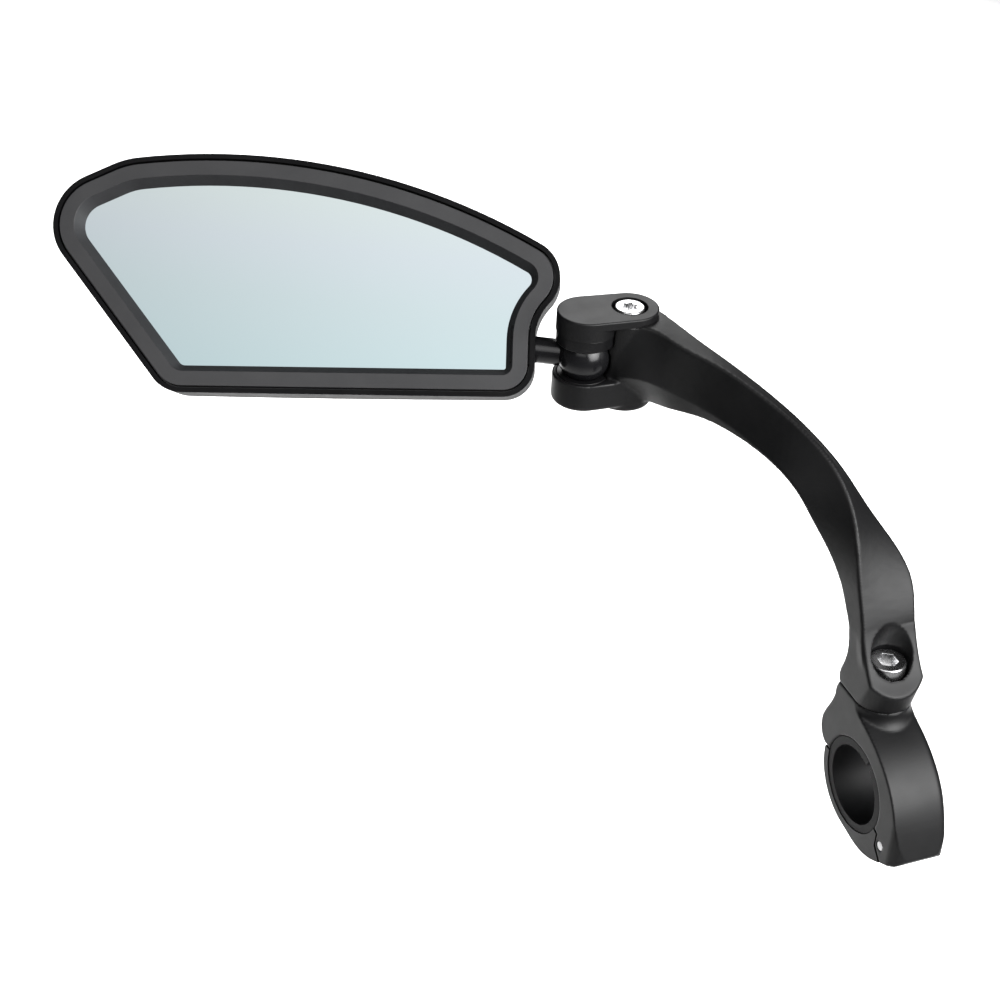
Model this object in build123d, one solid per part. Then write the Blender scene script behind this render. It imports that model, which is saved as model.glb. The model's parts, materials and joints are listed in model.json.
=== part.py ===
from build123d import *
import os
from math import cos, hypot, radians, sin, sqrt

# Left-hand handlebar mirror for a bicycle, in millimetres.
# Origin: centre of the handlebar bore, at the middle of the clamp's width.
# X runs along the handlebar (minus X is outboard), minus Y points to the rider, Z is up.

# ---- Driving dimensions ---------------------------------------------------------------
FIT = 0.05              # radial clearance of pieces that turn or slide in each other
PLAY = 0.1              # radial clearance round screw shanks

# Handlebar clamp
BAR_R = 11.1            # 22.2 mm handlebar
SHIM_R = 13.55
SHIM_W = 16.0
SHIM_SLIT = 1.8
SHIM_SLIT_ANGLE = 116
CLAMP_W = 16.4
CLAMP_TOP = 24.8
STRAP_R = 15.8
SPLIT_GAP = 0.4         # gap between the clamp body and its hinged strap
SPLIT_Z = 1.6
PIN_Y, PIN_Z = -16.9, -7.4
PIN_R = 1.25
EAR_R = 2.2
KNUCKLE_R = 2.7
KNUCKLE_W = 7.1
CLAMP_FRONT_Y = -25.0
CLAMP_FRONT_R = 2.5     # rounding of the front face's long edges
CLAMP_PLAN_R = 4.5      # rounding of the front corners, seen from above
LUG_Y = 17.3
LUG_R = 4.4
LUG_BOTTOM = -4.4
LUG_TOP = 12.8
CLAMP_NUT_BOTTOM = 6.6
CLAMP_NUT_HOLE_TOP = 12.2
CLAMP_BOLT_SHANK = 16.0
FLARE_R = 11.0          # foot of the swivel boss
FLARE_BOTTOM, FLARE_TOP = 19.4, 23.4
FLARE_ARC_R = 5.0
BOSS_BOTTOM = 17.0

# Socket screws and nuts: shank radius, head radius, head height, nut across flats, nut height
M4 = (2.0, 3.5, 4.0, 7.0, 3.2)
M5 = (2.5, 4.25, 3.2, 8.0, 4.0)
M6 = (3.0, 5.0, 6.0, 10.0, 5.0)

# Swivel between clamp and arm
PIVOT_Y = 6.2
PIVOT_SHANK = 16.0
PIVOT_NUT_BOTTOM = 17.0
PIVOT_HOLE_BOTTOM = 14.5
FOOT_R = 8.2
FOOT_DRAFT = 0.2        # the foot's round front leans out by this much per millimetre
FOOT_CONE_TOP = 44.85
FOOT_BACK_Y = 15.0
FOOT_EDGE_R = 0.7
FOOT_FLOOR = 29.9       # floor of the screw pocket
WASHER_R = 5.35
WASHER_T = 1.0
POCKET_R = 5.7
POCKET_WELL_R = 5.5
POCKET_WELL_TOP = 38.0
POCKET_LOW_TOP = 34.0
POCKET_MOUTH = (6.2, 7.6)   # half-width and half-height of the oval mouth

# Arm blade. Each station: its left upper corner, lean in degrees, width, height,
# and the height and width of the bevel on its lower edge
EASE = 0.5              # small chamfer on the arm's long edges
STATIONS = [
    (-8.2, 4.1, 36.7, 0, 16.4, 7.6, EASE, EASE),
    (-8.2, 8.1, 45.9, 0, 16.4, 7.6, EASE, EASE),
    (-8.2, 12.7, 56.2, 5, 16.9, 9.3, EASE, EASE),
    (-7.7, 17.5, 66.1, 22, 14.5, 11.8, EASE, EASE),
    (-7.2, 23.8, 75.4, 31, 9.2, 13.0, EASE, EASE),
    (-8.4, 31.4, 82.3, 32, 6.6, 12.8, EASE, EASE),
    (-11.5, 40.7, 87.4, 30, 5.8, 12.7, EASE, EASE),
    (-15.9, 50.6, 90.9, 23, 5.7, 13.2, 1.0, 0.5),
    (-20.9, 60.9, 93.6, 16, 5.8, 14.6, 1.9, 0.8),
    (-26.6, 71.2, 95.7, 8, 6.4, 17.4, 3.6, 1.0),
    (-33.0, 81.2, 97.2, 1, 8.6, 22.0, 7.0, 2.2),
    (-45.6, 94.2, 98.2, 0, 16.6, 24.0, 7.0, 2.2),
]

# Screw barrel, ball cap and ball cup at the arm's outer end
HINGE_X, HINGE_Y = -39.4, 99.7
HINGE_R = 8.3
HINGE_BOTTOM = 71.0
HINGE_TOP = 98.2
CAP_TOP = 100.6
CAP_R = 8.5
CAP_SKIRT = 94.8
CAP_SPIGOT_R = 6.4
CAP_SPIGOT_BOTTOM = 95.0
CAP_BORE_TOP = 97.05
CAP_EDGE_R = 0.5
SCREW_WELL_R = 5.2
RECESS_DEPTH = 1.9
RECESS_R, LOBE_PLACE, RECESS_LOBE_R = 1.75, 1.75, 0.55
CAP_BORE_R = 7.25       # for the upper ball seat
SCREW_SEAT = 97.4
CAP_SCREW_SHANK = 25.0
CAP_NUT_BOTTOM = 72.2
BALL_X, BALL_Y, BALL_Z = -51.7, 101.0, 86.2
BALL_R = 7.5
CUP_R = 8.7
CUP_BOTTOM = 72.5
CUP_RIM = 81.0
CUP_EDGE_R = 1.2
SOCKET_GAP = 0.5        # clearance of the ball in the arm's hollow
SEAT_FLOOR = 76.0
SEAT_R = 7.4
UPPER_SEAT_R = 8.3
UPPER_SEAT_BOTTOM = 91.3
UPPER_SEAT_TOP = 97.0
STEM_R = 3.75
STEM_END = 20.0
SPIGOT_R = 2.5
SPIGOT_IN = 2.6
STEM_PIN_X = 17.0       # distance of the cross pin from the ball's centre
STEM_PIN_R = 1.25
STEM_PIN_ENDS = (-5.2, 3.6)
STEM_HOLE_END = 26.0

# Mirror head, in its own frame: x along the glass, y up the glass, z out of the glass
HEAD_FRONT = 5.0
HEAD_LOW = -13.0        # straight lower edge of the head
LOBE_R = 11.0
NECK_R = 14.2           # hollow between the lobe and the stem
NECK_TURN = 42.4
SHOULDER_RUN = 28.0
HEAD_BACK = -12.0
HEAD_ROLL = 6.1
BACK_R = 420.0
BACK_CENTRE = (-75.0, 20.0)
RIM_WALL = 1.4
SHELL_WALL = 2.4
BACK_WALL = 2.0
BEZEL_EDGE = 2.0
BEZEL_INNER = 6.2
BEZEL_LIP = 8.4
GLASS_EDGE = 7.4
GLASS_FRONT = 1.2
GLASS_T = 2.0
PAD_T = 1.2
HEAD_SCREW_R = 1.3
HEAD_SCREW_HEAD_R = 2.3
HEAD_SCREW_HEAD_H = 1.6
HEAD_SCREW_SINK = 2.4   # head seat below the domed back
SCREW_TIP = 3.6
POST_R = 3.4
RIB_T = 1.6
RIB_TOP = -2.05
RIB_PLACES = (-125.0, -100.0, -75.0, -50.0)
GROOVE_FLOOR = 2.6
SCREW_SLOT = (3.0, 0.7)  # length and width of the cross recess
SCREW_SLOT_DEPTH = 0.8
BACK_EDGE_R = 3.5
BACK_DRAFT = 1.0        # how much smaller the outline is at the back
SOCKET_LOW, SOCKET_HIGH = (-24.0, -5.2, -9.0), (-9.0, 5.2, 4.0)
HEAD_SCREWS = [(-149.6, 36.0), (-114.0, -8.6), (-19.8, -8.2), (-12.0, 23.5)]

BALL = Vector(BALL_X, BALL_Y, BALL_Z)
STEM_DIR = Vector(-cos(radians(30)), sin(radians(30)), 0)
HEAD = Plane(origin=BALL, x_dir=-STEM_DIR, z_dir=(-0.386, -0.668, 0.636))
MIRROR = HEAD * Rot(0, 0, HEAD_ROLL)


# ---- Helpers --------------------------------------------------------------------------
def cylinder(radius, bottom, top, x=0.0, y=0.0):
    """Upright cylinder between two heights."""
    height = top - bottom
    return Pos(x, y, bottom + height / 2) * Cylinder(radius, height)


def hex_prism(across_flats, bottom, top, x=0.0, y=0.0):
    """Upright hexagon with two corners on its own Y axis."""
    hexagon = RegularPolygon(across_flats / 2, 6, major_radius=False, rotation=30)
    return extrude(Pos(x, y, bottom) * hexagon, top - bottom)


def box(low, high):
    """Box between two corners."""
    size = [high[i] - low[i] for i in range(3)]
    middle = [(high[i] + low[i]) / 2 for i in range(3)]
    return Pos(*middle) * Box(*size)


def across(face, width):
    """Extrude a side-view face symmetrically along the handlebar."""
    return extrude(Plane.YZ * face, width / 2, both=True)


def socket_screw(sizes, seat, length, socket_flats, x=0.0, y=0.0):
    """Upright cap screw with a hexagon socket, head above the seat."""
    shank_r, head_r, head_h = sizes[:3]
    head = cylinder(head_r, seat, seat + head_h, x, y)
    head = chamfer(head.edges().group_by(Axis.Z)[-1], 0.4)
    shank = cylinder(shank_r, seat - length, seat, x, y)
    socket = hex_prism(socket_flats, seat + head_h / 2, seat + head_h, x, y)
    return head + shank - socket


def hex_nut(sizes, bottom, x=0.0, y=0.0):
    """Hexagon nut with a plain bore over the screw's shank."""
    shank_r, flats, height = sizes[0], sizes[3], sizes[4]
    nut = hex_prism(flats, bottom, bottom + height, x, y)
    return nut - cylinder(shank_r + FIT, bottom, bottom + height, x, y)


# ---- Handlebar clamp ------------------------------------------------------------------
def clamp_side():
    """Side view of the closed clamp, body and strap together."""
    arc_start = -83
    start = (STRAP_R * cos(radians(arc_start)), STRAP_R * sin(radians(arc_start)))
    end = (STRAP_R * cos(radians(5)), STRAP_R * sin(radians(5)))
    front = [(4.8, 22.4), (-6.5, 18.9), (-13.5, 14.5), (-18.6, 9.0), (-22.4, 1.0), (CLAMP_FRONT_Y, -7.2)]
    with BuildSketch() as side:
        with BuildLine():
            Line((15.0, CLAMP_TOP), (PIVOT_Y, CLAMP_TOP))
            Line((PIVOT_Y, CLAMP_TOP), front[0])
            Spline(*front)
            Line(front[-1], (-23.4, -9.6))
            Line((-23.4, -9.6), (-14.0, -14.9))
            Spline((-14.0, -14.9), (-6.5, -16.7), start, tangents=[(0.9, -0.42), (-start[1], start[0])])
            CenterArc((0, 0), STRAP_R, arc_start, 5 - arc_start)
            Spline(end, (18.6, 3.2), (20.0, 7.5), (18.4, 13.0), (15.9, 22.0))
            Line((15.9, 22.0), (15.0, CLAMP_TOP))
        make_face()
    return side.sketch


def strap_zone():
    """Side view of the region below the split, where the strap lies."""
    return make_face(
        Polyline(
            (0, SPLIT_Z), (-12.0, -4.0), (-14.6, -5.0), (-14.6, -9.0), (-19.6, -14.0), (-19.6, -20.0),
            (25.0, -20.0), (25.0, SPLIT_Z), close=True,
        )
    )


def knuckle_zone(radius, gap):
    """Side view of the strap's middle knuckle and front lip, or of the slot round them."""
    neck = Polyline(
        (PIN_Y, PIN_Z + radius), (-13.0, -4.8), (-13.0, -20.0), (-23.0 - gap, -20.0),
        (-21.8 - gap, -10.0 + gap), (PIN_Y, -10.0 + gap), close=True,
    )
    return make_face(neck) + Pos(PIN_Y, PIN_Z) * Circle(radius)


def swivel_boss():
    """Round boss under the arm's foot, flaring out into the clamp body."""
    with BuildSketch(Plane.XZ) as profile:
        with BuildLine():
            Line((0, BOSS_BOTTOM), (FLARE_R, BOSS_BOTTOM))
            Line((FLARE_R, BOSS_BOTTOM), (FLARE_R, FLARE_BOTTOM))
            RadiusArc((FLARE_R, FLARE_BOTTOM), (FOOT_R, FLARE_TOP), FLARE_ARC_R)
            Line((FOOT_R, FLARE_TOP), (FOOT_R, CLAMP_TOP))
            Line((FOOT_R, CLAMP_TOP), (0, CLAMP_TOP))
            Line((0, CLAMP_TOP), (0, BOSS_BOTTOM))
        make_face()
    boss = Pos(0, PIVOT_Y, 0) * revolve(profile.sketch, Axis.Z)
    return boss & box((-CLAMP_W / 2, -2 * FLARE_R, 0), (CLAMP_W / 2, PIVOT_Y, CLAMP_TOP))


def clamp_block():
    """Solid clamp with a rounded front, before the strap and the bores are cut out."""
    block = across(clamp_side(), CLAMP_W)
    long_edges = block.edges().filter_by(GeomType.BSPLINE).sort_by(Axis.Y)[:2]
    block = fillet(long_edges, CLAMP_FRONT_R)
    plan = Rectangle(CLAMP_W, 2 * -CLAMP_FRONT_Y)
    plan = fillet(plan.vertices().group_by(Axis.Y)[0], CLAMP_PLAN_R)
    return block & extrude(plan, CLAMP_TOP, both=True)


def clamp_body():
    """Upper clamp half with ears for the hinge pin, a rear bolt boss and the swivel boss."""
    body = clamp_block() + swivel_boss()
    boss = cylinder(LUG_R, SPLIT_Z, LUG_TOP, 0, LUG_Y)
    body += chamfer(boss.edges().group_by(Axis.Z)[-1], 1.0)
    body -= across(Circle(SHIM_R + FIT), CLAMP_W)
    body -= across(strap_zone() - Pos(PIN_Y, PIN_Z) * Circle(EAR_R), CLAMP_W)
    body -= across(knuckle_zone(KNUCKLE_R + 0.3, 0.3), KNUCKLE_W + 0.3)
    body -= across(Pos(PIN_Y, PIN_Z) * Circle(PIN_R + FIT), CLAMP_W)
    body -= cylinder(M4[0] + PLAY, SPLIT_Z, CLAMP_NUT_HOLE_TOP, 0, LUG_Y)
    body -= nut_slot(M4, CLAMP_NUT_BOTTOM, LUG_Y)
    body -= cylinder(M6[0] + PLAY, PIVOT_HOLE_BOTTOM, CLAMP_TOP, 0, PIVOT_Y)
    return body - nut_slot(M6, PIVOT_NUT_BOTTOM, PIVOT_Y)


def nut_slot(sizes, bottom, y):
    """Slot for a nut, open to the rear."""
    half = sizes[3] / 2 + FIT
    front = y - sizes[3] / sqrt(3) - PLAY
    return box((-half, front, bottom), (half, y + 20, bottom + sizes[4] + FIT))


def clamp_strap():
    """Hinged lower clamp half with a knuckle in front and a bolt lug behind."""
    zone = Pos(0.3, -SPLIT_GAP) * strap_zone()
    ring = clamp_side() & (zone - Pos(PIN_Y, PIN_Z) * Circle(EAR_R + SPLIT_GAP))
    strap = across(ring, CLAMP_W)
    strap += across(clamp_side() & knuckle_zone(KNUCKLE_R, 0), KNUCKLE_W)
    lug_top = SPLIT_Z - SPLIT_GAP
    strap += cylinder(LUG_R, LUG_BOTTOM, lug_top, 0, LUG_Y)
    strap += box((-LUG_R, 12.0, LUG_BOTTOM), (LUG_R, LUG_Y, lug_top))
    strap -= across(Circle(SHIM_R + FIT), CLAMP_W)
    strap -= across(Pos(PIN_Y, PIN_Z) * Circle(PIN_R + FIT), CLAMP_W)
    strap -= cylinder(M4[0] + PLAY, LUG_BOTTOM, lug_top, 0, LUG_Y)
    strap -= cylinder(M4[1] + 0.3, LUG_BOTTOM - 6, LUG_BOTTOM, 0, LUG_Y)
    return strap


def pivot_washer():
    """Flat washer under the pivot screw's head."""
    disc = cylinder(WASHER_R, FOOT_FLOOR + FIT, FOOT_FLOOR + WASHER_T + FIT, 0, PIVOT_Y)
    return disc - cylinder(M6[0] + FIT, FOOT_FLOOR, FOOT_FLOOR + 2 * WASHER_T, 0, PIVOT_Y)


def clamp_hinge_pin():
    """Steel pin through the ears and the knuckle."""
    return across(Pos(PIN_Y, PIN_Z) * Circle(PIN_R), CLAMP_W - 0.2)


def clamp_bolt():
    """Bolt from below through the strap's lug into the clamp body."""
    upright = socket_screw(M4, 0, CLAMP_BOLT_SHANK, 3.0)
    return Pos(0, LUG_Y, LUG_BOTTOM) * Rot(180, 0, 0) * upright


def handlebar_shim():
    """Split sleeve that grips the handlebar."""
    ring = across(Circle(SHIM_R) - Circle(BAR_R), SHIM_W)
    slit = box((-SHIM_W, 0, -SHIM_SLIT / 2), (SHIM_W, SHIM_R + 1, SHIM_SLIT / 2))
    return ring - Rot(SHIM_SLIT_ANGLE, 0, 0) * slit


# ---- Arm ------------------------------------------------------------------------------
def arm_section(corner, tangent, lean, width, height, bevel_h, bevel_w):
    """Cross-section of the arm: rectangle with eased top edges and a bevelled lower edge."""
    upright = (Vector(0, 0, 1) - tangent * tangent.Z).normalized()
    aside = tangent.cross(upright)
    up = upright * cos(radians(lean)) + aside * sin(radians(lean))
    far = tangent.cross(up)
    points = [
        corner + far * EASE,
        corner + far * (width - EASE),
        corner + far * width - up * EASE,
        corner + far * width - up * height,
        corner - up * height + far * bevel_w,
        corner - up * (height - bevel_h),
        corner - up * EASE,
    ]
    return make_face(Polyline(*points, close=True))


def arm_blade():
    """Curved blade from the foot to the screw barrel."""
    corners = [Vector(*station[:3]) for station in STATIONS]
    edge = Spline(*corners, tangents=[(0, 0.40, 0.92), (-0.66, 0.75, 0)])
    sections = [
        arm_section(corner, edge.tangent_at(corner), *station[3:])
        for corner, station in zip(corners, STATIONS)
    ]
    return loft(sections)


def foot_side():
    """Side view of the foot: sloping outer face in front, hollow back."""
    low = CLAMP_TOP + FIT
    slope = [(-8.0, 26.8), (-3.3, 31.0), (1.7, 35.5), (4.7, 39.6), (8.1, 45.9)]
    back = [(15.1, 42.9), (13.9, 37.6), (14.4, 32.3), (15.7, 27.2)]
    with BuildSketch() as side:
        with BuildLine():
            Line((-8.0, low), slope[0])
            Spline(*slope, tangents=[(1, 0.9), (0.40, 0.92)])
            Line(slope[-1], back[0])
            Spline(*back, tangents=[(-0.3, -1), (0.1, -1)])
            Line(back[-1], (FOOT_BACK_Y, low))
            Line((FOOT_BACK_Y, low), (-8.0, low))
        make_face()
    return side.sketch


def arm_foot():
    """Foot on the swivel, with a tapered round front."""
    low, width = CLAMP_TOP + FIT, CLAMP_W / 2
    height = FOOT_CONE_TOP - low
    cone = Pos(0, PIVOT_Y, low + height / 2) * Cone(FOOT_R, FOOT_R + FOOT_DRAFT * height, height)
    plan = cone + box((-width, PIVOT_Y, low), (width, 20.0, 60.0))
    plan += box((-width, 0, FOOT_CONE_TOP - 1), (width, 20.0, 60.0))
    foot = across(foot_side(), CLAMP_W) & plan
    rim = foot.edges().filter_by(GeomType.BSPLINE).filter_by(on_foot_rim)
    return fillet(rim, FOOT_EDGE_R)


def on_foot_rim(edge):
    """True for an edge round the foot's sloping face."""
    middle = edge @ 0.5
    return abs(middle.X) > 1.0 and middle.Y < PIVOT_Y


def pivot_pocket():
    """Counterbore for the pivot screw, opening as an oval on the sloping face."""
    well = cylinder(POCKET_WELL_R, FOOT_FLOOR, POCKET_WELL_TOP, 0, PIVOT_Y)
    low = cylinder(POCKET_R, FOOT_FLOOR, POCKET_LOW_TOP, 0, PIVOT_Y)
    mouth = Plane(origin=(0, 4.4, 41.6), x_dir=(1, 0, 0), z_dir=(0, -0.852, 0.524))
    funnel = loft([Pos(0, PIVOT_Y, POCKET_LOW_TOP) * Circle(POCKET_R), mouth * Ellipse(*POCKET_MOUTH)])
    outer = extrude(mouth * Ellipse(*POCKET_MOUTH), POCKET_MOUTH[0])
    return well + low + funnel + outer


def ball_cup():
    """Lower half of the ball socket and the web that joins it to the screw barrel."""
    with BuildSketch(Plane.XY.offset(CUP_BOTTOM)) as outline:
        with Locations((BALL_X, BALL_Y)):
            Circle(CUP_R)
        with Locations((HINGE_X, HINGE_Y)):
            Circle(HINGE_R - 0.3)
        make_hull()
    cup = extrude(outline.sketch, CUP_RIM - CUP_BOTTOM)
    return fillet(cup.edges().group_by(Axis.Z)[0], CUP_EDGE_R)


def screw_barrel():
    """Upright barrel that the cap screw passes through."""
    barrel = cylinder(HINGE_R, HINGE_BOTTOM, HINGE_TOP, HINGE_X, HINGE_Y)
    return fillet(barrel.edges().group_by(Axis.Z)[0], 1.0)


def cap_outline(height, extra=0.0):
    """Plan of the ball cap at a height: round over the ball and over the screw barrel."""
    with BuildSketch(Plane.XY.offset(height)) as outline:
        with Locations((BALL_X, BALL_Y)):
            Circle(CAP_R + extra)
        with Locations((HINGE_X, HINGE_Y)):
            Circle(HINGE_R + extra)
        make_hull()
    return outline.sketch


def arm():
    """One moulding: foot, blade, screw barrel and ball cup."""
    solid = arm_blade() + arm_foot() + screw_barrel() + ball_cup()
    solid -= pivot_pocket()
    solid -= cylinder(M6[0] + FIT, CLAMP_TOP, FOOT_FLOOR, 0, PIVOT_Y)
    solid -= Pos(*BALL) * Sphere(BALL_R + SOCKET_GAP)
    solid -= cylinder(UPPER_SEAT_R + 0.3, UPPER_SEAT_BOTTOM - 0.1, CAP_TOP, BALL_X, BALL_Y)
    solid -= extrude(cap_outline(HINGE_TOP, 0.3), CAP_TOP - HINGE_TOP)
    solid -= cylinder(SEAT_R + FIT, SEAT_FLOOR, CUP_RIM, BALL_X, BALL_Y)
    solid -= cylinder(CAP_SPIGOT_R + FIT, CAP_SPIGOT_BOTTOM - FIT, HINGE_TOP, HINGE_X, HINGE_Y)
    solid -= cylinder(M5[0] + PLAY, HINGE_BOTTOM, HINGE_TOP, HINGE_X, HINGE_Y)
    solid -= hex_prism(M5[3] + PLAY, HINGE_BOTTOM, CAP_NUT_BOTTOM + M5[4], HINGE_X, HINGE_Y)
    return solid


# ---- Ball joint -----------------------------------------------------------------------
def ball_cap():
    """Screwed-down upper half of the ball socket."""
    cap = extrude(cap_outline(HINGE_TOP + FIT), CAP_TOP - HINGE_TOP - FIT)
    cap = fillet(cap.edges().group_by(Axis.Z)[-1], CAP_EDGE_R)
    cap += cylinder(CAP_R, CAP_SKIRT, HINGE_TOP + FIT, BALL_X, BALL_Y)
    cap += cylinder(CAP_SPIGOT_R, CAP_SPIGOT_BOTTOM, HINGE_TOP + FIT, HINGE_X, HINGE_Y)
    cap -= cylinder(CAP_BORE_R, CAP_SKIRT, CAP_BORE_TOP, BALL_X, BALL_Y)
    cap -= cylinder(M5[0] + PLAY, CAP_SPIGOT_BOTTOM, CAP_TOP, HINGE_X, HINGE_Y)
    return cap - cylinder(SCREW_WELL_R, SCREW_SEAT, CAP_TOP, HINGE_X, HINGE_Y)


def cap_screw():
    """Six-lobe screw that clamps the ball."""
    head = cylinder(M5[1], SCREW_SEAT, CAP_TOP, HINGE_X, HINGE_Y)
    head = fillet(head.edges().group_by(Axis.Z)[-1], CAP_EDGE_R)
    shank = cylinder(M5[0], SCREW_SEAT - CAP_SCREW_SHANK, SCREW_SEAT, HINGE_X, HINGE_Y)
    lobes = Circle(RECESS_R)
    for index in range(6):
        lobes += Rot(0, 0, 60 * index) * Pos(LOBE_PLACE, 0) * Circle(RECESS_LOBE_R)
    recess = extrude(Pos(HINGE_X, HINGE_Y, CAP_TOP - RECESS_DEPTH) * lobes, RECESS_DEPTH)
    return head + shank - recess


def upper_ball_seat():
    """Flanged plastic seat above the ball."""
    seat = cylinder(UPPER_SEAT_R, UPPER_SEAT_BOTTOM, CAP_SKIRT - FIT, BALL_X, BALL_Y)
    seat += cylinder(CAP_BORE_R - FIT, CAP_SKIRT - FIT, UPPER_SEAT_TOP, BALL_X, BALL_Y)
    return seat - Pos(*BALL) * Sphere(BALL_R + FIT)


def lower_ball_seat():
    """Plastic seat under the ball, in the arm's cup."""
    seat = cylinder(SEAT_R, SEAT_FLOOR + FIT, CUP_RIM, BALL_X, BALL_Y)
    return seat - Pos(*BALL) * Sphere(BALL_R + FIT)


def along_stem(radius, near, far):
    """Cylinder on the stem's axis between two distances from the ball's centre."""
    return HEAD * Pos(-(near + far) / 2, 0, 0) * Rot(0, 90, 0) * Cylinder(radius, far - near)


def ball():
    """Ball with a bore for the stem's spigot."""
    return Pos(*BALL) * Sphere(BALL_R) - along_stem(SPIGOT_R + FIT, SPIGOT_IN - PLAY, BALL_R + 1)


def ball_stem():
    """Stem from the ball into the mirror housing."""
    stem = along_stem(STEM_R, BALL_R - 1, STEM_END) - Pos(*BALL) * Sphere(BALL_R + FIT)
    stem += along_stem(SPIGOT_R, SPIGOT_IN, BALL_R + 1)
    return stem - cross_hole()


def cross_hole():
    """Hole for the pin through the stem and its socket."""
    low, high = STEM_PIN_ENDS
    return HEAD * Pos(-STEM_PIN_X, 0, 0) * cylinder(STEM_PIN_R + FIT, low - 3, high)


def stem_pin():
    """Steel pin that holds the stem in the housing."""
    low, high = STEM_PIN_ENDS
    return HEAD * Pos(-STEM_PIN_X, 0, 0) * cylinder(STEM_PIN_R, low, high)


# ---- Mirror head ----------------------------------------------------------------------
def head_outline():
    """Front view of the mirror head: long tapering glass with a lobe over the ball joint."""
    low_left = Vector(-118.9, HEAD_LOW)
    with BuildSketch() as outline:
        with BuildLine():
            lobe = CenterArc((-17.9, 21.0), LOBE_R, -NECK_TURN, NECK_TURN + 60)
            neck = JernArc(lobe @ 0, -(lobe % 0), NECK_R, NECK_TURN)
            low_right = Vector((neck @ 1).X, HEAD_LOW)
            top = JernArc(lobe @ 1, lobe % 1, 192.0, 36.3)
            shoulder = JernArc(top @ 1, top % 1, 25.0, 17.9)
            tip = shoulder @ 1 + (shoulder % 1) * SHOULDER_RUN
            Line(shoulder @ 1, tip)
            Line(tip, low_left)
            Line(low_left, low_right)
            Line(low_right, neck @ 1)
        make_face()
        for corner, radius in ((tip, 15.0), (low_left, 10.6), (low_right, 9.0)):
            fillet(outline.vertices().sort_by_distance(corner)[0], radius)
    return outline.sketch


def inset(distance):
    """The head's outline moved inwards."""
    return offset(head_outline(), -distance)


def slab(distance, bottom, top):
    """Solid of the inset outline between two depths, in the head's own frame."""
    return extrude(Pos(0, 0, bottom) * inset(distance), top - bottom)


def back_height(x, y):
    """Depth of the domed back at a point of the head."""
    reach = hypot(x - BACK_CENTRE[0], y - BACK_CENTRE[1])
    return HEAD_BACK + BACK_R - sqrt(BACK_R**2 - reach**2)


def dome(radius):
    """Large ball whose lower side is the domed back."""
    return Pos(*BACK_CENTRE, HEAD_BACK + BACK_R) * Sphere(radius)


def stem_socket(gap):
    """Block in the housing that holds the stem, in the head's own frame."""
    low, high = Vector(*SOCKET_LOW), Vector(*SOCKET_HIGH)
    block = box((low.X, low.Y - gap, low.Z), (high.X, high.Y + gap, high.Z + gap))
    ring = slab(0.2, low.Z, HEAD_FRONT) - slab(GLASS_EDGE - 0.3, low.Z, HEAD_FRONT)
    return Rot(0, 0, -HEAD_ROLL) * block & ring


def at_screws(radius, bottoms, top):
    """Round posts, holes or shanks at the head's four screws, joined as one shape."""
    shapes = [cylinder(radius, low, top, x, y) for (x, y), low in zip(HEAD_SCREWS, bottoms)]
    return shapes[0] + shapes[1:]


def screw_seats():
    """Depth of each housing screw's head seat, sunk below the domed back."""
    return [back_height(x, y) + HEAD_SCREW_SINK for x, y in HEAD_SCREWS]


def rounded_back():
    """Solid of the head with its domed back and rounded back edge."""
    block = loft([Pos(0, 0, HEAD_BACK - 1) * inset(BACK_DRAFT), Pos(0, 0, HEAD_FRONT) * head_outline()])
    block = block & dome(BACK_R)
    return fillet(block.edges().filter_by(on_back_rim), BACK_EDGE_R)


def on_back_rim(edge):
    """True for an edge round the domed back."""
    size = edge.bounding_box()
    return size.max.Z < 0 and size.min.Z > HEAD_BACK + 1


def mirror_housing():
    """Back shell with ribs under the glass, screw posts and the stem socket."""
    shell = rounded_back()
    cavity = slab(SHELL_WALL, HEAD_BACK, 0) & dome(BACK_R - BACK_WALL)
    ribs = [box((x - RIB_T / 2, -12.0, HEAD_BACK), (x + RIB_T / 2, 58.0, RIB_TOP)) for x in RIB_PLACES]
    ribs.append(box((-150.0, 20.0 - RIB_T / 2, HEAD_BACK), (-16.0, 20.0 + RIB_T / 2, RIB_TOP)))
    posts = at_screws(POST_R, [HEAD_BACK] * len(HEAD_SCREWS), 0)
    shell = shell - (cavity - ribs - posts) - slab(RIM_WALL, 0, HEAD_FRONT)
    shell += stem_socket(0) & rounded_back()
    shell -= slab(GLASS_EDGE - 0.3, RIB_TOP, HEAD_FRONT)
    shell = MIRROR * shell
    shell -= along_stem(STEM_R + FIT, 0, STEM_HOLE_END)
    shell -= MIRROR * at_screws(HEAD_SCREW_R + FIT, [HEAD_BACK] * len(HEAD_SCREWS), 1)
    for (x, y), seat in zip(HEAD_SCREWS, screw_seats()):
        shell -= MIRROR * cylinder(HEAD_SCREW_HEAD_R + PLAY, HEAD_BACK - 1, seat, x, y)
    return shell - cross_hole()


def mirror_bezel():
    """Front ring that covers the glass's edge, with a groove at the rim and a bevel inside."""
    ring = slab(RIM_WALL + FIT, 0, GROOVE_FLOOR) + slab(BEZEL_EDGE, 0, HEAD_FRONT)
    lip, mouth = inset(BEZEL_LIP), inset(BEZEL_INNER)
    hole = loft([Pos(0, 0, GLASS_FRONT + FIT) * lip, Pos(0, 0, HEAD_FRONT) * mouth])
    ring = ring - hole - slab(GLASS_EDGE - PLAY, 0, GLASS_FRONT + FIT) - stem_socket(PLAY)
    return MIRROR * (ring - at_screws(HEAD_SCREW_R + FIT, [0] * len(HEAD_SCREWS), SCREW_TIP + 0.3))


def mirror_glass():
    """Flat glass."""
    return MIRROR * slab(GLASS_EDGE, GLASS_FRONT - GLASS_T, GLASS_FRONT)


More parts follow.
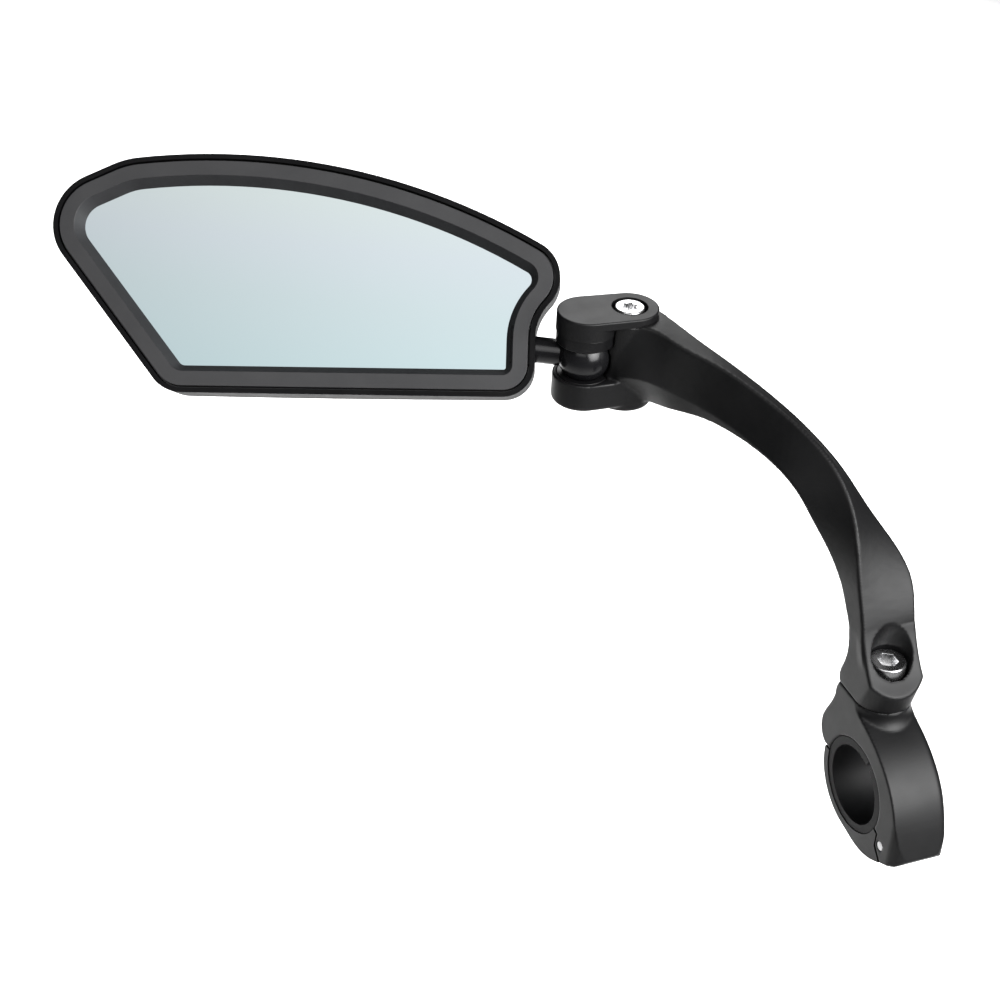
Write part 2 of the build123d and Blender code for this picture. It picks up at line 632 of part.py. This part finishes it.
def glass_backing_pad():
    """Foam sheet that presses the glass against the bezel."""
    top = GLASS_FRONT - GLASS_T
    return MIRROR * slab(GLASS_EDGE + 0.6, top - PAD_T, top)


def cross_recess(x, y, top):
    """Cross-shaped drive cut into a screw head that faces away from the glass."""
    length, width = SCREW_SLOT
    slot = Box(length, width, SCREW_SLOT_DEPTH) + Box(width, length, SCREW_SLOT_DEPTH)
    return Pos(x, y, top + SCREW_SLOT_DEPTH / 2) * slot


def housing_screws():
    """Four self-tapping screws through the housing into the bezel."""
    screws = []
    for (x, y), seat in zip(HEAD_SCREWS, screw_seats()):
        top = seat - HEAD_SCREW_HEAD_H
        screw = cylinder(HEAD_SCREW_HEAD_R, top, seat, x, y) + cylinder(HEAD_SCREW_R, seat, SCREW_TIP, x, y)
        screws.append(MIRROR * (screw - cross_recess(x, y, top)))
    return Compound(children=screws)


# ---- Write one file per piece ---------------------------------------------------------
PIECES = {
    "clamp_body": clamp_body,
    "clamp_strap": clamp_strap,
    "clamp_hinge_pin": clamp_hinge_pin,
    "clamp_bolt": clamp_bolt,
    "clamp_nut": lambda: hex_nut(M4, CLAMP_NUT_BOTTOM, 0, LUG_Y),
    "handlebar_shim": handlebar_shim,
    "pivot_screw": lambda: socket_screw(M6, FOOT_FLOOR + WASHER_T + FIT, PIVOT_SHANK, 5.0, 0, PIVOT_Y),
    "pivot_washer": pivot_washer,
    "pivot_nut": lambda: hex_nut(M6, PIVOT_NUT_BOTTOM, 0, PIVOT_Y),
    "arm": arm,
    "ball_cap": ball_cap,
    "cap_screw": cap_screw,
    "cap_nut": lambda: hex_nut(M5, CAP_NUT_BOTTOM, HINGE_X, HINGE_Y),
    "upper_ball_seat": upper_ball_seat,
    "lower_ball_seat": lower_ball_seat,
    "ball": ball,
    "ball_stem": ball_stem,
    "stem_pin": stem_pin,
    "mirror_housing": mirror_housing,
    "mirror_bezel": mirror_bezel,
    "mirror_glass": mirror_glass,
    "glass_backing_pad": glass_backing_pad,
    "housing_screws": housing_screws,
}

os.makedirs("parts", exist_ok=True)
for name, build in PIECES.items():
    piece = build()
    print(name, len(piece.solids()), round(piece.volume, 1), piece.is_valid)
    export_step(piece, f"parts/{name}.step")
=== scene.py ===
import bpy
import json
import math
from mathutils import Matrix, Vector


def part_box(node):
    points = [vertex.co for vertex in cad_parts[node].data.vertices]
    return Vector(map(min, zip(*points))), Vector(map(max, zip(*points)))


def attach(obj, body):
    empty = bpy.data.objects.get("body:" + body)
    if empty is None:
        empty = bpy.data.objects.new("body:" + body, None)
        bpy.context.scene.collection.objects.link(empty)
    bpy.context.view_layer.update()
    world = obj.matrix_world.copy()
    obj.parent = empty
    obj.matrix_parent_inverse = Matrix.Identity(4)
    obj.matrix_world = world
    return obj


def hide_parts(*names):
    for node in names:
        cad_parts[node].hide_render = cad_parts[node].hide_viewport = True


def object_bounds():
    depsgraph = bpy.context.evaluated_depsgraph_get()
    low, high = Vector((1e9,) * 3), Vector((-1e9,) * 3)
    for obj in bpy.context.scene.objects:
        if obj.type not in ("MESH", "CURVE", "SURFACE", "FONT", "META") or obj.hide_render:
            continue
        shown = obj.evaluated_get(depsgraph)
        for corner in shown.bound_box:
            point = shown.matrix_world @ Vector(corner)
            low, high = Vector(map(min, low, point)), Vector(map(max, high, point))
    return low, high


# Bicycle handlebar mirror: moulded black plastic, bright screws, tinted glass.
# Metres, in the CAD frame.
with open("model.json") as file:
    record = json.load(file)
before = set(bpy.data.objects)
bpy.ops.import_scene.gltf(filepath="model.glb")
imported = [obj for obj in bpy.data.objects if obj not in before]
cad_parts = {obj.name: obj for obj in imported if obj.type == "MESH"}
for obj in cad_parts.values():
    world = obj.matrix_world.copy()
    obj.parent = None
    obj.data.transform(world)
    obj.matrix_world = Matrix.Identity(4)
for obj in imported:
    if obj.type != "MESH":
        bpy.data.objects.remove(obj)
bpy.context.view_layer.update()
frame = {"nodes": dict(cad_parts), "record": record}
nodes = frame["nodes"]
record = frame["record"]
body_of_node = {
    name: body for body, names in record["behaviour"]["bodies"].items() for name in names
}
slot_of_node = {row["node"]: row["material_slot"] for row in record["subparts"]}

# ---- Colours and edges ----------------------------------------------------------------
# Each colour pair is the dark and the light end of a surface's faint unevenness.
BLACK_PLASTIC = (0.0035, 0.0035, 0.0040), (0.0075, 0.0075, 0.0080)
# Bezel: the housing's black plastic painted several times lighter, a painted sheen from the light
# above it
BEZEL_PLASTIC_WITH_PAINTED_SHEEN = (0.024, 0.024, 0.026), (0.034, 0.034, 0.036)
BALL_PLASTIC = (0.006, 0.006, 0.007), (0.011, 0.011, 0.012)
RUBBER = (0.005, 0.005, 0.0055), (0.010, 0.010, 0.011)
FOAM = (0.03, 0.03, 0.03), (0.07, 0.07, 0.07)
BRIGHT_STEEL = (0.52, 0.52, 0.53), (0.80, 0.80, 0.80)
BLACK_STEEL = (0.03, 0.03, 0.032), (0.07, 0.07, 0.072)
GLASS_TINT_AND_PAINTED_REFLECTION = [          # height on the glass from 0 to 1, and the colour there: the glass's own blue-grey tint plus a painted reflection, paler grey towards the top
    (0.05, (0.305, 0.380, 0.395)),
    (0.45, (0.340, 0.398, 0.412)),
    (0.72, (0.373, 0.414, 0.437)),
    (0.95, (0.398, 0.442, 0.444)),
]

WELD_DISTANCE = 2e-6
FLAT_ANGLE = 0.4        # degrees: facets closer to flat than this are merged
EDGE_ANGLE = 32.0       # degrees: sharper edges than this are rounded
EDGE_WIDTHS = {         # width of the rounding on each node's edges
    "clamp_strap": 0.0003,
    "handlebar_shim": 0.0002,
    "pivot_screw": 0.0002,
    "ball_cap": 0.0003,
    "lower_ball_seat": 0.0002,
    "upper_ball_seat": 0.0002,
    "mirror_housing": 0.0003,
    "mirror_bezel": 0.0003,
}
VOXEL = 0.0004
KEPT_FACES = 0.4        # share of the remeshed faces that stays
SMOOTHING_PASSES = {"arm": 5, "clamp_body": 3}


# ---- Node-tree helpers ----------------------------------------------------------------
def new_material(name):
    material = bpy.data.materials.new(name)
    material.use_nodes = True
    tree = material.node_tree
    return material, tree, tree.nodes["Principled BSDF"]


def object_coords(tree):
    return tree.nodes.new("ShaderNodeTexCoord").outputs["Object"]


def noise(tree, coords, scale, detail=2.0, roughness=0.5):
    node = tree.nodes.new("ShaderNodeTexNoise")
    node.inputs["Scale"].default_value = scale
    node.inputs["Detail"].default_value = detail
    node.inputs["Roughness"].default_value = roughness
    tree.links.new(coords, node.inputs["Vector"])
    return node.outputs["Fac"]


def ramp(tree, factor, stops):
    """Colour ramp; stops are (position, colour) pairs."""
    node = tree.nodes.new("ShaderNodeValToRGB")
    elements = node.color_ramp.elements
    while len(elements) < len(stops):
        elements.new(0.5)
    for element, (position, colour) in zip(elements, stops):
        element.position = position
        element.color = (*colour, 1.0)
    tree.links.new(factor, node.inputs["Fac"])
    return node.outputs["Color"]


def paint(tree, shader, factor, colours, positions=(0.3, 0.7)):
    """Base colour that runs between a dark and a light colour."""
    colour = ramp(tree, factor, list(zip(positions, colours)))
    tree.links.new(colour, shader.inputs["Base Color"])


def spread(tree, factor, low, high):
    """Maps a 0 to 1 factor onto a narrow range."""
    node = tree.nodes.new("ShaderNodeMapRange")
    node.inputs["To Min"].default_value = low
    node.inputs["To Max"].default_value = high
    tree.links.new(factor, node.inputs["Value"])
    return node.outputs["Result"]


def bump(tree, height, strength, distance, normal=None):
    node = tree.nodes.new("ShaderNodeBump")
    node.inputs["Strength"].default_value = strength
    node.inputs["Distance"].default_value = distance
    tree.links.new(height, node.inputs["Height"])
    if normal is not None:
        tree.links.new(normal, node.inputs["Normal"])
    return node.outputs["Normal"]


# ---- Materials ------------------------------------------------------------------------
def moulded_plastic(name, colours, rough, grain_strength=0.22, specular=0.4):
    """Plastic from a spark-textured mould: fine grain, faint clouds and slightly uneven gloss."""
    material, tree, shader = new_material(name)
    coords = object_coords(tree)
    clouds = noise(tree, coords, scale=55.0, detail=4.0, roughness=0.6)
    paint(tree, shader, clouds, colours)
    smears = noise(tree, coords, scale=140.0, detail=3.0, roughness=0.55)
    tree.links.new(spread(tree, smears, *rough), shader.inputs["Roughness"])
    waves = noise(tree, coords, scale=320.0)
    flow = bump(tree, waves, strength=0.08, distance=0.00012)
    grain = noise(tree, coords, scale=2600.0, detail=3.0, roughness=0.7)
    fine = bump(tree, grain, grain_strength, distance=0.00006, normal=flow)
    tree.links.new(fine, shader.inputs["Normal"])
    shader.inputs["Specular IOR Level"].default_value = specular
    return material


def polished_plastic(name, colours):
    """Gloss plastic with fine scuffs."""
    material, tree, shader = new_material(name)
    coords = object_coords(tree)
    paint(tree, shader, noise(tree, coords, scale=90.0, detail=3.0), colours)
    scuffs = noise(tree, coords, scale=900.0, detail=4.0, roughness=0.7)
    tree.links.new(spread(tree, scuffs, low=0.12, high=0.26), shader.inputs["Roughness"])
    fine = bump(tree, scuffs, strength=0.05, distance=0.00004)
    tree.links.new(fine, shader.inputs["Normal"])
    return material


def plated_steel(name, colours):
    """Plated or blackened steel with fine scratches and small dull patches."""
    material, tree, shader = new_material(name)
    coords = object_coords(tree)
    stains = noise(tree, coords, scale=420.0, detail=5.0, roughness=0.65)
    paint(tree, shader, stains, colours, positions=(0.25, 0.75))
    shader.inputs["Metallic"].default_value = 1.0
    scratches = noise(tree, coords, scale=2400.0, detail=3.0, roughness=0.6)
    tree.links.new(spread(tree, scratches, low=0.16, high=0.36), shader.inputs["Roughness"])
    fine = bump(tree, scratches, strength=0.10, distance=0.00003)
    tree.links.new(fine, shader.inputs["Normal"])
    return material


def soft_rubber(name, colours):
    """Smooth rubber with a slight bloom."""
    material, tree, shader = new_material(name)
    coords = object_coords(tree)
    bloom = noise(tree, coords, scale=160.0, detail=4.0, roughness=0.6)
    paint(tree, shader, bloom, colours, positions=(0.3, 0.75))
    tree.links.new(spread(tree, bloom, low=0.5, high=0.65), shader.inputs["Roughness"])
    shader.inputs["Specular IOR Level"].default_value = 0.25
    fine = bump(tree, noise(tree, coords, scale=1800.0), strength=0.12, distance=0.00005)
    tree.links.new(fine, shader.inputs["Normal"])
    return material


def foam(name, colours):
    """Closed-cell foam sheet."""
    material, tree, shader = new_material(name)
    coords = object_coords(tree)
    cells = tree.nodes.new("ShaderNodeTexVoronoi")
    cells.inputs["Scale"].default_value = 1600.0
    tree.links.new(coords, cells.inputs["Vector"])
    paint(tree, shader, cells.outputs["Distance"], colours, positions=(0.0, 0.8))
    shader.inputs["Roughness"].default_value = 0.9
    pits = bump(tree, cells.outputs["Distance"], strength=0.4, distance=0.0002)
    tree.links.new(pits, shader.inputs["Normal"])
    return material


def mirror_with_painted_reflection(name, node):
    """Silvered glass with a blue-grey tint, its colour running from pale grey at the top to pale
    cyan below: a painted reflection of the surroundings.
    """
    material, tree, shader = new_material(name)
    coords = object_coords(tree)
    low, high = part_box(node)
    separate = tree.nodes.new("ShaderNodeSeparateXYZ")
    tree.links.new(coords, separate.inputs["Vector"])
    height = tree.nodes.new("ShaderNodeMapRange")
    height.inputs["From Min"].default_value = low.z
    height.inputs["From Max"].default_value = high.z
    tree.links.new(separate.outputs["Z"], height.inputs["Value"])
    # The height ramp paints a reflection into the glass colour, paler grey at the top and cyan
    # below
    tint_and_reflection = ramp(tree, height.outputs["Result"], GLASS_TINT_AND_PAINTED_REFLECTION)
    tree.links.new(tint_and_reflection, shader.inputs["Base Color"])
    shader.inputs["Metallic"].default_value = 1.0
    haze = noise(tree, coords, scale=60.0, detail=3.0)
    tree.links.new(spread(tree, haze, low=0.03, high=0.07), shader.inputs["Roughness"])
    return material


def build_materials():
    return {
        "clamp_nylon": moulded_plastic("clamp_nylon", BLACK_PLASTIC, (0.40, 0.52)),
        "arm_nylon": moulded_plastic("arm_nylon", BLACK_PLASTIC, (0.40, 0.52)),
        "housing_plastic": moulded_plastic(
            "housing_plastic", BLACK_PLASTIC, (0.46, 0.58), specular=0.08
        ),
        # Same black plastic as the housing, painted lighter as a painted sheen
        "bezel_plastic": moulded_plastic(
            "bezel_plastic", BEZEL_PLASTIC_WITH_PAINTED_SHEEN, (0.42, 0.55), specular=0.6
        ),
        "seat_acetal": moulded_plastic(
            "seat_acetal", BLACK_PLASTIC, (0.30, 0.40), grain_strength=0.06
        ),
        "ball_nylon": polished_plastic("ball_nylon", BALL_PLASTIC),
        "steel": plated_steel("steel", BRIGHT_STEEL),
        "screw_black": plated_steel("screw_black", BLACK_STEEL),
        "shim_rubber": soft_rubber("shim_rubber", RUBBER),
        "pad_foam": foam("pad_foam", FOAM),
        # The glass colour carries a painted reflection, paler grey at the top and cyan below
        "glass": mirror_with_painted_reflection("glass", "mirror_glass"),
    }


# ---- Pieces with moulded edges --------------------------------------------------------
def copy_of(name):
    """Welded copy of a CAD node, with its stored normals taken off."""
    piece = bpy.data.objects.new(name + "_moulded", nodes[name].data.copy())
    bpy.context.scene.collection.objects.link(piece)
    stored = piece.data.attributes.get("custom_normal")
    if stored is not None:
        piece.data.attributes.remove(stored)
    for polygon in piece.data.polygons:
        polygon.use_smooth = True
    weld = piece.modifiers.new("weld", "WELD")
    weld.merge_threshold = WELD_DISTANCE
    return piece


def finished(piece, name):
    """Bakes the modifiers and makes the piece ride in the node's place."""
    depsgraph = bpy.context.evaluated_depsgraph_get()
    mesh = bpy.data.meshes.new_from_object(piece.evaluated_get(depsgraph))
    piece.modifiers.clear()
    piece.data = mesh
    mesh.materials.clear()
    mesh.materials.append(materials[slot_of_node[name]])
    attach(piece, body_of_node[name])
    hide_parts(name)


def eased(name, width):
    """Stands for a CAD node, with its sharp edges rounded as a mould leaves them."""
    piece = copy_of(name)
    flat = piece.modifiers.new("flatten", "DECIMATE")
    flat.decimate_type = "DISSOLVE"
    flat.angle_limit = math.radians(FLAT_ANGLE)
    bevel = piece.modifiers.new("bevel", "BEVEL")
    bevel.width = width
    bevel.segments = 2
    bevel.limit_method = "ANGLE"
    bevel.angle_limit = math.radians(EDGE_ANGLE)
    bevel.use_clamp_overlap = True
    piece.modifiers.new("normals", "WEIGHTED_NORMAL")
    finished(piece, name)


def moulded(name, passes):
    """Stands for a CAD node, remeshed and smoothed so that every edge and corner is soft."""
    piece = copy_of(name)
    remesh = piece.modifiers.new("remesh", "REMESH")
    remesh.mode = "VOXEL"
    remesh.voxel_size = VOXEL
    smooth = piece.modifiers.new("smooth", "SMOOTH")
    smooth.factor = 0.5
    smooth.iterations = passes
    fewer = piece.modifiers.new("fewer", "DECIMATE")
    fewer.ratio = KEPT_FACES
    finished(piece, name)


# ---- Stage: floor, lights, camera -----------------------------------------------------
FLOOR_SIZE = 12.0
FLOOR_DROP = 0.45       # the handlebar holds the part up, so the floor is well below it
FLOOR_WHITE = 0.86
WORLD_STRENGTH = 0.05
SOFTBOX_SPREAD = 80.0   # degrees: a grid keeps most of the light off the floor
# Name, place, point aimed at, side length, brightness
SOFTBOXES = [
    ("glass_box", (-0.62, -0.55, 0.95), (-0.12, 0.12, 0.10), 1.0, 0.36),
    ("front_box", (0.42, -0.88, 0.62), (0.0, 0.0, 0.05), 1.2, 2.0),
    ("rear_box", (0.55, 1.55, 1.15), (-0.03, 0.1, 0.1), 1.1, 0.8),
]
# The floor that the camera sees behind the part is lit to plain white
POOL_PLACE = (0.42, 1.1, 2.6)
POOL_TARGET = (0.42, 1.1, -0.5)
POOL_ANGLE = 40.0
POOL_POWER = 900.0
POOL_BLEND = 0.5
POOL_RADIUS = 0.1

# Camera from the front left and above; angles in degrees, lens in millimetres
CAMERA_AZIMUTH = -22.43
CAMERA_ELEVATION = 34.08
CAMERA_ROLL = 3.01
CAMERA_PLACE = (-0.25343, -0.33157, 0.35827)
CAMERA_LENS = 70.18
CAMERA_SENSOR = 36.0
CAMERA_CLIP = 0.01


def add_floor():
    low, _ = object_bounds()
    bpy.ops.mesh.primitive_plane_add(size=FLOOR_SIZE, location=(0, 0, low.z - FLOOR_DROP))
    floor = bpy.context.object
    floor.name = "floor"
    material, _, shader = new_material("floor")
    shader.inputs["Base Color"].default_value = (FLOOR_WHITE, FLOOR_WHITE, FLOOR_WHITE, 1.0)
    shader.inputs["Roughness"].default_value = 0.9
    shader.inputs["Specular IOR Level"].default_value = 0.0
    floor.data.materials.append(material)


def place_light(light, place, target):
    lamp = bpy.data.objects.new(light.name, light)
    lamp.location = place
    aim = Vector(target) - Vector(place)
    lamp.rotation_euler = aim.to_track_quat("-Z", "Y").to_euler()
    bpy.context.scene.collection.objects.link(lamp)


def add_lights():
    world = bpy.data.worlds.new("studio")
    world.use_nodes = True
    background = world.node_tree.nodes["Background"]
    background.inputs["Color"].default_value = (1.0, 1.0, 1.0, 1.0)
    background.inputs["Strength"].default_value = WORLD_STRENGTH
    bpy.context.scene.world = world
    for name, place, target, size, brightness in SOFTBOXES:
        light = bpy.data.lights.new(name, "AREA")
        light.energy = brightness * size * size * math.pi
        light.size = size
        light.spread = math.radians(SOFTBOX_SPREAD)
        place_light(light, place, target)
    light = bpy.data.lights.new("floor_pool", "SPOT")
    light.energy = POOL_POWER
    light.spot_size = math.radians(POOL_ANGLE)
    light.spot_blend = POOL_BLEND
    light.shadow_soft_size = POOL_RADIUS
    place_light(light, POOL_PLACE, POOL_TARGET)


def add_camera():
    azimuth = math.radians(CAMERA_AZIMUTH)
    elevation = math.radians(CAMERA_ELEVATION)
    roll = math.radians(CAMERA_ROLL)
    right = Vector((math.cos(azimuth), math.sin(azimuth), 0))
    level_back = Vector((math.sin(azimuth), -math.cos(azimuth), 0))
    back = level_back * math.cos(elevation) + Vector((0, 0, math.sin(elevation)))
    up = back.cross(right)
    rolled_right = right * math.cos(roll) + up * math.sin(roll)
    rolled_up = up * math.cos(roll) - right * math.sin(roll)
    turn = Matrix((rolled_right, rolled_up, back)).transposed()
    data = bpy.data.cameras.new("camera")
    data.lens = CAMERA_LENS
    data.sensor_width = CAMERA_SENSOR
    data.clip_start = CAMERA_CLIP
    camera = bpy.data.objects.new("camera", data)
    camera.matrix_world = Matrix.Translation(CAMERA_PLACE) @ turn.to_4x4()
    bpy.context.scene.collection.objects.link(camera)
    bpy.context.scene.camera = camera


# ---- Build ----------------------------------------------------------------------------
materials = build_materials()
for name, node in nodes.items():
    node.data.materials.clear()
    node.data.materials.append(materials[slot_of_node[name]])
for name, passes in SMOOTHING_PASSES.items():
    moulded(name, passes)
for name, width in EDGE_WIDTHS.items():
    eased(name, width)
add_floor()
add_lights()
add_camera()
bpy.context.scene.view_settings.view_transform = "Standard"
